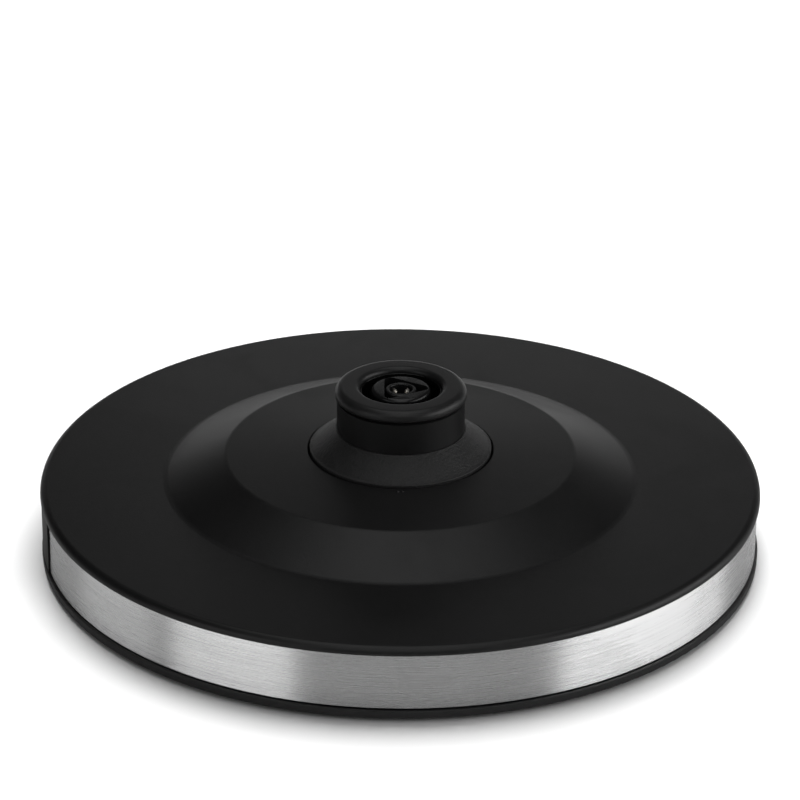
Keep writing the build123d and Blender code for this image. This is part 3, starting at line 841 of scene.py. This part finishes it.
# %% Turn the hub and add its keys
hub_low, hub_high = span("centre_post")
HUB_R = 3.75
HUB_HOLE_R = 2.73
HUB_FOOT_R = 7.0
HUB_SHOULDER_Z = 27.0
KEY_TURNS = (0, 120, 240)
KEY_SIZE = (2.8, 1.4, 17.0)
KEY_MIDDLE = (4.7, 0, 27.5)


def hub_key(turn):
    """One guide key of the hub."""
    bm = bmesh.new()
    bmesh.ops.create_cube(bm, size=1.0)
    bmesh.ops.scale(bm, vec=Vector(KEY_SIZE) * MM, verts=list(bm.verts))
    bmesh.ops.translate(bm, vec=Vector(KEY_MIDDLE) * MM, verts=list(bm.verts))
    bm.transform(about_z(turn))
    return make_piece("key", bm, even=False)


hub = turn_piece("hub", [
    (HUB_HOLE_R, hub_low.z),
    (HUB_FOOT_R, hub_low.z),
    (HUB_FOOT_R, hub_low.z + 1.2),
    (5.0, hub_low.z + 1.2),
    (5.0, HUB_SHOULDER_Z),
    (HUB_R, HUB_SHOULDER_Z),
    (HUB_R, hub_high.z, 0.45),
    (HUB_HOLE_R, hub_high.z, 0.3),
], steps=128)
for turn in KEY_TURNS:
    combine(hub, hub_key(turn), "UNION")
fit(hub, island_black, "connector_plastic", "base", "centre_post")

# %% [markdown]
# ## The sprung island
#
# Round the hub sits a lidded sleeve on a spring, which shuts the live contact off.  The kettle's plug
# presses it down three millimetres.  Its lid has a three-cornered opening: the sides just clear the
# hub, and the corners run on the keys.  The sleeve is turned.  The opening is cut with a prism that
# starts as a circle of three points, with its corners rounded by a vertex bevel before it is raised.

# %% Turn the island and cut its opening
island_low, island_high = span("shutter")
ISLAND_R = 7.1
ISLAND_INNER_R = 5.3
LID_UNDER_Z = 39.4
POCKET_CORNER = 1.6
HUB_CLEARANCE = 0.2


def pocket_prism():
    """The three-cornered tool for the island's opening."""
    bm = bmesh.new()
    bmesh.ops.create_circle(bm, cap_ends=True, segments=3, radius=2 * (HUB_R + HUB_CLEARANCE) * MM)
    point = max(bm.verts, key=lambda vert: vert.co.length)
    aim = -math.degrees(math.atan2(point.co.y, point.co.x))
    bmesh.ops.bevel(bm, geom=list(bm.verts), offset=POCKET_CORNER / math.tan(math.radians(30)) * MM,
                    offset_type="OFFSET", segments=12, profile=0.5, affect="VERTICES", material=-1)
    raised = bmesh.ops.extrude_face_region(bm, geom=list(bm.faces))
    top = [item for item in raised["geom"] if isinstance(item, bmesh.types.BMVert)]
    bmesh.ops.translate(bm, vec=(0, 0, 30 * MM), verts=top)
    bmesh.ops.recalc_face_normals(bm, faces=list(bm.faces))
    bm.transform(Matrix.Translation((0, 0, 20 * MM)) @ about_z(aim))
    return make_piece("pocket_prism", bm, even=False)


island = turn_piece("island", [
    (HUB_R - 1.0, LID_UNDER_Z),
    (HUB_R - 1.0, island_high.z),
    (ISLAND_R, island_high.z, 1.0),
    (ISLAND_R, island_low.z + 1.0),
    (island_high.x, island_low.z + 1.0),
    (island_high.x, island_low.z),
    (ISLAND_INNER_R, island_low.z),
    (ISLAND_INNER_R, LID_UNDER_Z),
], steps=144)
combine(island, pocket_prism(), "DIFFERENCE")
softened = island.modifiers.new("soft_rim", "BEVEL")
softened.width = 0.14 * MM
softened.segments = 3
softened.limit_method = "ANGLE"
softened.angle_limit = math.radians(60)
island.modifiers.move(1, 0)
fit(island, island_black, "connector_plastic", "island", "shutter")

# %% [markdown]
# ## The spring under the island
#
# A coil spring is a small circle carried round the axis while it climbs, and the spin operator does
# that when it is given a rise.

# %% Wind the spring
spring_low, spring_high = span("shutter_spring")
WIRE_R = 0.25
COIL_TURNS = 5


def coil_spring():
    """The spring, wound by a spin that rises."""
    bm = bmesh.new()
    bmesh.ops.create_circle(bm, cap_ends=False, segments=10, radius=WIRE_R * MM)
    upright = Matrix.Rotation(math.radians(90), 4, "X")
    start = Matrix.Translation(((spring_high.x - WIRE_R) * MM, 0, (spring_low.z + WIRE_R) * MM))
    bm.transform(start @ upright)
    climb = spring_high.z - spring_low.z - 2 * WIRE_R
    spin_section(bm, turn=360.0 * COIL_TURNS, steps=COIL_TURNS * 48, rise=climb)
    return make_piece("coil_spring", bm, even=False)


spring = coil_spring()
fit(spring, drawn_wire, "spring_steel", "base", "shutter_spring")
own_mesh(spring)

# %% [markdown]
# ## Rubber feet
#
# Four round pads are stuck into recesses under the base plate.  Each has a shallow dish in its sole,
# which grips like a sucker, and a softened rim.  They are one shape in four places, so each copy is
# turned at the axis and then moved out to the middle of its CAD node.


# %% Make the feet
def rubber_foot(number):
    """One stick-in foot, in the place of its CAD node."""
    node = f"rubber_foot_{number}"
    low, high = span(node)
    radius = (high.x - low.x) / 2
    bm = bmesh.new()
    draw_section(bm, [(0, 0.22), (radius - 2.2, 0.22, 0.3), (radius - 1.5, 0, 0.2), (radius, 0, 0.4),
                      (radius, high.z), (0, high.z)])
    spin_section(bm, steps=72)
    middle = (low + high) / 2 * MM
    bmesh.ops.translate(bm, vec=(middle.x, middle.y, 0), verts=list(bm.verts))
    foot = make_piece(f"foot_{number}", bm)
    fit(foot, rubber_black, "rubber", "base", node)


for number in (1, 2, 3, 4):
    rubber_foot(number)

# %% [markdown]
# ## Domed tips of the live contact
#
# The two prongs of the live contact end in small polished domes that grip the kettle's centre pin.
# They are what glints down in the hub's hole.  Each dome is a ball that is flattened a little, and
# both are one mesh.


# %% Add the domed tips
TIP_R = 0.62
TIP_SIDEWAYS = 1.38
TIP_DROP = 0.45


def prong_tips():
    """The two domes that face each other across the middle."""
    bm = bmesh.new()
    prong_high = span("live_contact")[1]
    for side in (-1, 1):
        ball = bmesh.ops.create_uvsphere(bm, u_segments=32, v_segments=16, radius=TIP_R * MM)["verts"]
        bmesh.ops.scale(bm, vec=(0.9, 1.35, 0.8), verts=ball)
        spot = Vector((side * TIP_SIDEWAYS, 0, prong_high.z - TIP_DROP))
        bmesh.ops.translate(bm, vec=spot * MM, verts=ball)
    return make_piece("prong_tips", bm, even=False)


tips = prong_tips()
tips.data.materials.append(silver_faced)
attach(tips, "base")

# %% [markdown]
# ## The nodes that stay
#
# The base plate, the gland, the inner carrier, the contacts and the screws have the right shape
# already, with their ribs, wells and slots.  Each keeps its CAD mesh and only changes its finish.

# %% Give the CAD nodes their finishes
kept_finishes = {
    plate_black: ["bottom_cover", "cord_clamp"],
    tower_black: ["fixing_ring"],
    carrier_brown: ["terminal_carrier"],
    rubber_black: ["cord_gland"],
    silver_faced: ["live_contact", "neutral_contact", "earth_contact"],
    zinc_plate: ["clamp_screws", "case_screws", "connector_screws", "carrier_screws"],
}
for finish, nodes in kept_finishes.items():
    for node in nodes:
        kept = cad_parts[node]
        for material_slot in kept.material_slots:
            material_slot.material = finish
        print(f"{node} wears {finish.name}")

# %% [markdown]
# # The studio
#
# ## Floor and surroundings
#
# The floor is plain and almost white.  A satin black object shows nothing but reflections, so what
# surrounds it matters more than what shines on it.  To the camera the surroundings are white, and to
# everything else they are a quiet grey, so that the lights decide the reflections.


# %% Floor and world
FLOOR_TONE = (0.86, 0.86, 0.86, 1.0)
REFLECTED_TONE = (0.31, 0.31, 0.31, 1.0)
GLOW_START = 0.18
GLOW_SLOPE = 2.5
WHITE = (1.0, 1.0, 1.0, 1.0)
QUIET_GREY = (0.022, 0.022, 0.022, 1.0)


def build_floor():
    """A wide pale floor that reflections see as a quieter grey."""
    bm = bmesh.new()
    bmesh.ops.create_grid(bm, x_segments=1, y_segments=1, size=4.0)
    mesh = bpy.data.meshes.new("floor")
    bm.to_mesh(mesh)
    bm.free()
    floor = bpy.data.objects.new("floor", mesh)
    bpy.context.scene.collection.objects.link(floor)
    material, tree, shader = start_material("pale_floor")
    path = add_node(tree, "ShaderNodeLightPath")
    mix = add_node(tree, "ShaderNodeMix", data_type="RGBA")
    mix.inputs["A"].default_value = FLOOR_TONE
    mix.inputs["B"].default_value = REFLECTED_TONE
    tree.links.new(path.outputs["Is Glossy Ray"], mix.inputs["Factor"])
    tree.links.new(mix.outputs["Result"], shader.inputs["Base Color"])
    shader.inputs["Roughness"].default_value = 0.9
    shader.inputs["Specular IOR Level"].default_value = 0.0
    # far from the object the floor glows white for the camera, so it meets the surroundings unseen
    place = add_node(tree, "ShaderNodeTexCoord").outputs["Object"]
    away = add_node(tree, "ShaderNodeVectorMath", operation="LENGTH")
    tree.links.new(place, away.inputs[0])
    beyond = add_math(tree, "SUBTRACT", away.outputs["Value"], GLOW_START)
    ramp = add_math(tree, "MULTIPLY", beyond, GLOW_SLOPE, True)
    glow = add_math(tree, "MULTIPLY", ramp, path.outputs["Is Camera Ray"])
    shader.inputs["Emission Color"].default_value = WHITE
    tree.links.new(glow, shader.inputs["Emission Strength"])
    # seen from below the floor is clear, and light from below passes it, so the base plate can be
    # looked at
    clear = add_node(tree, "ShaderNodeBsdfTransparent")
    one_sided = add_node(tree, "ShaderNodeMixShader")
    facing_away = add_node(tree, "ShaderNodeNewGeometry").outputs["Backfacing"]
    passing = add_math(tree, "MAXIMUM", facing_away, path.outputs["Is Shadow Ray"])
    tree.links.new(passing, one_sided.inputs[0])
    tree.links.new(shader.outputs["BSDF"], one_sided.inputs[1])
    tree.links.new(clear.outputs["BSDF"], one_sided.inputs[2])
    surface = next(node for node in tree.nodes if node.type == "OUTPUT_MATERIAL")
    tree.links.new(one_sided.outputs[0], surface.inputs["Surface"])
    mesh.materials.append(material)
    return floor


def build_world():
    """White for the camera, quiet grey for everything else."""
    world = bpy.data.worlds.new("studio")
    bpy.context.scene.world = world
    world.use_nodes = True
    tree = world.node_tree
    backdrop = next(node for node in tree.nodes if node.type == "BACKGROUND")
    path = add_node(tree, "ShaderNodeLightPath")
    mix = add_node(tree, "ShaderNodeMix", data_type="RGBA")
    mix.inputs["A"].default_value = QUIET_GREY
    mix.inputs["B"].default_value = WHITE
    tree.links.new(path.outputs["Is Camera Ray"], mix.inputs["Factor"])
    tree.links.new(mix.outputs["Result"], backdrop.inputs["Color"])


floor = build_floor()
build_world()
bpy.context.scene.view_settings.view_transform = "Standard"

# %% [markdown]
# ## Lights
#
# Each light is a soft panel that the camera can't see, but that the plastic and the steel reflect.
# Two panels behind give the seat ring its sheen.  One overhead and one high in front brighten the
# front of the slope, the skirt and the rounded lip.  Two soft ones at the sides shape the cones.
#
# Black plastic and bright steel want very different amounts of light, so some panels are kept for
# one receiver.  The floor has its own wash.  The steel strip has a bright panel to the right, a
# dimmer one to the left, nothing in the middle, and two more for its side and back.  A last panel
# lights the base plate and the feet from below.


# %% Panels
def panel(name, place, aim, size, strength):
    """A rectangular soft light at a place, facing aim, in metres and watts."""
    light = bpy.data.lights.new(name, "AREA")
    light.shape = "RECTANGLE"
    light.size, light.size_y = size
    light.energy = strength
    lamp = bpy.data.objects.new(name, light)
    bpy.context.scene.collection.objects.link(lamp)
    lamp.location = place
    lamp.rotation_mode = "QUATERNION"
    lamp.rotation_quaternion = (Vector(aim) - Vector(place)).to_track_quat("-Z", "Y")
    lamp.visible_camera = False
    return lamp


def only_lights(lamp, *receivers):
    """Keeps a light for the receivers; everything still casts its shadow."""
    chosen = bpy.data.collections.new(f"{lamp.name}_receivers")
    for receiver in receivers:
        chosen.objects.link(receiver)
    lamp.light_linking.receiver_collection = chosen


MIDDLE = (0, 0, 0.02)
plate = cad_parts["bottom_cover"]
feet = [bpy.data.objects[f"foot_{number}"] for number in (1, 2, 3, 4)]
only_lights(panel("floor_wash", (0, 0.34, 1.0), MIDDLE, (0.8, 0.7), 14.3), floor)
panel("overhead", (0, 0.06, 1.1), MIDDLE, (0.75, 1.2), 2.1)
panel("front_high", (0, -0.85, 0.95), MIDDLE, (0.9, 0.5), 1.1)
panel("behind_low", (0, 0.42, 0.045), (0, 0, 0.045), (0.56, 0.08), 0.13)
panel("behind_high", (0.03, 0.42, 0.16), (0.03, 0, 0.14), (0.28, 0.12), 0.031)
panel("right_soft", (0.84, -0.15, 0.30), MIDDLE, (1.1, 0.5), 3.0)
panel("left_soft", (-0.65, -0.56, 0.30), MIDDLE, (0.62, 0.5), 0.6)
only_lights(panel("right_strip", (0.84, -0.15, 0.27), MIDDLE, (1.12, 0.5), 11.6), band)
only_lights(panel("left_strip", (-0.65, -0.56, 0.25), MIDDLE, (0.62, 0.5), 4.6), band)
only_lights(panel("side_strip", (-0.86, 0.03, 0.25), MIDDLE, (0.5, 0.5), 1.9), band)
only_lights(panel("back_strip", (0.1, 0.9, 0.3), MIDDLE, (0.9, 0.5), 4.0), band)
only_lights(panel("below", (0.2, -0.3, -0.8), MIDDLE, (0.8, 0.8), 3.0), plate, *feet)

# %% [markdown]
# ## Camera
#
# A long lens from a little above: the top is a wide flat ellipse and the steel strip shows across
# the front.  The camera leans a fraction of a degree, as a hand-levelled one does.

# %% Camera
CAMERA_AIM = Vector((-0.0002, 0, 0.0383))
CAMERA_DISTANCE = 0.86
CAMERA_ELEVATION = math.radians(25.28)
CAMERA_LEAN = math.radians(0.40)

camera_data = bpy.data.cameras.new("camera")
camera_data.sensor_width = 36
camera_data.lens = 162.34
camera = bpy.data.objects.new("camera", camera_data)
bpy.context.scene.collection.objects.link(camera)
towards = Vector((0, -math.cos(CAMERA_ELEVATION), math.sin(CAMERA_ELEVATION)))
camera.location = CAMERA_AIM + towards * CAMERA_DISTANCE
camera.rotation_mode = "QUATERNION"
camera.rotation_quaternion = (-towards).to_track_quat("-Z", "Y") @ Quaternion(UP, CAMERA_LEAN)
camera_data.clip_start = 0.01
bpy.context.scene.camera = camera
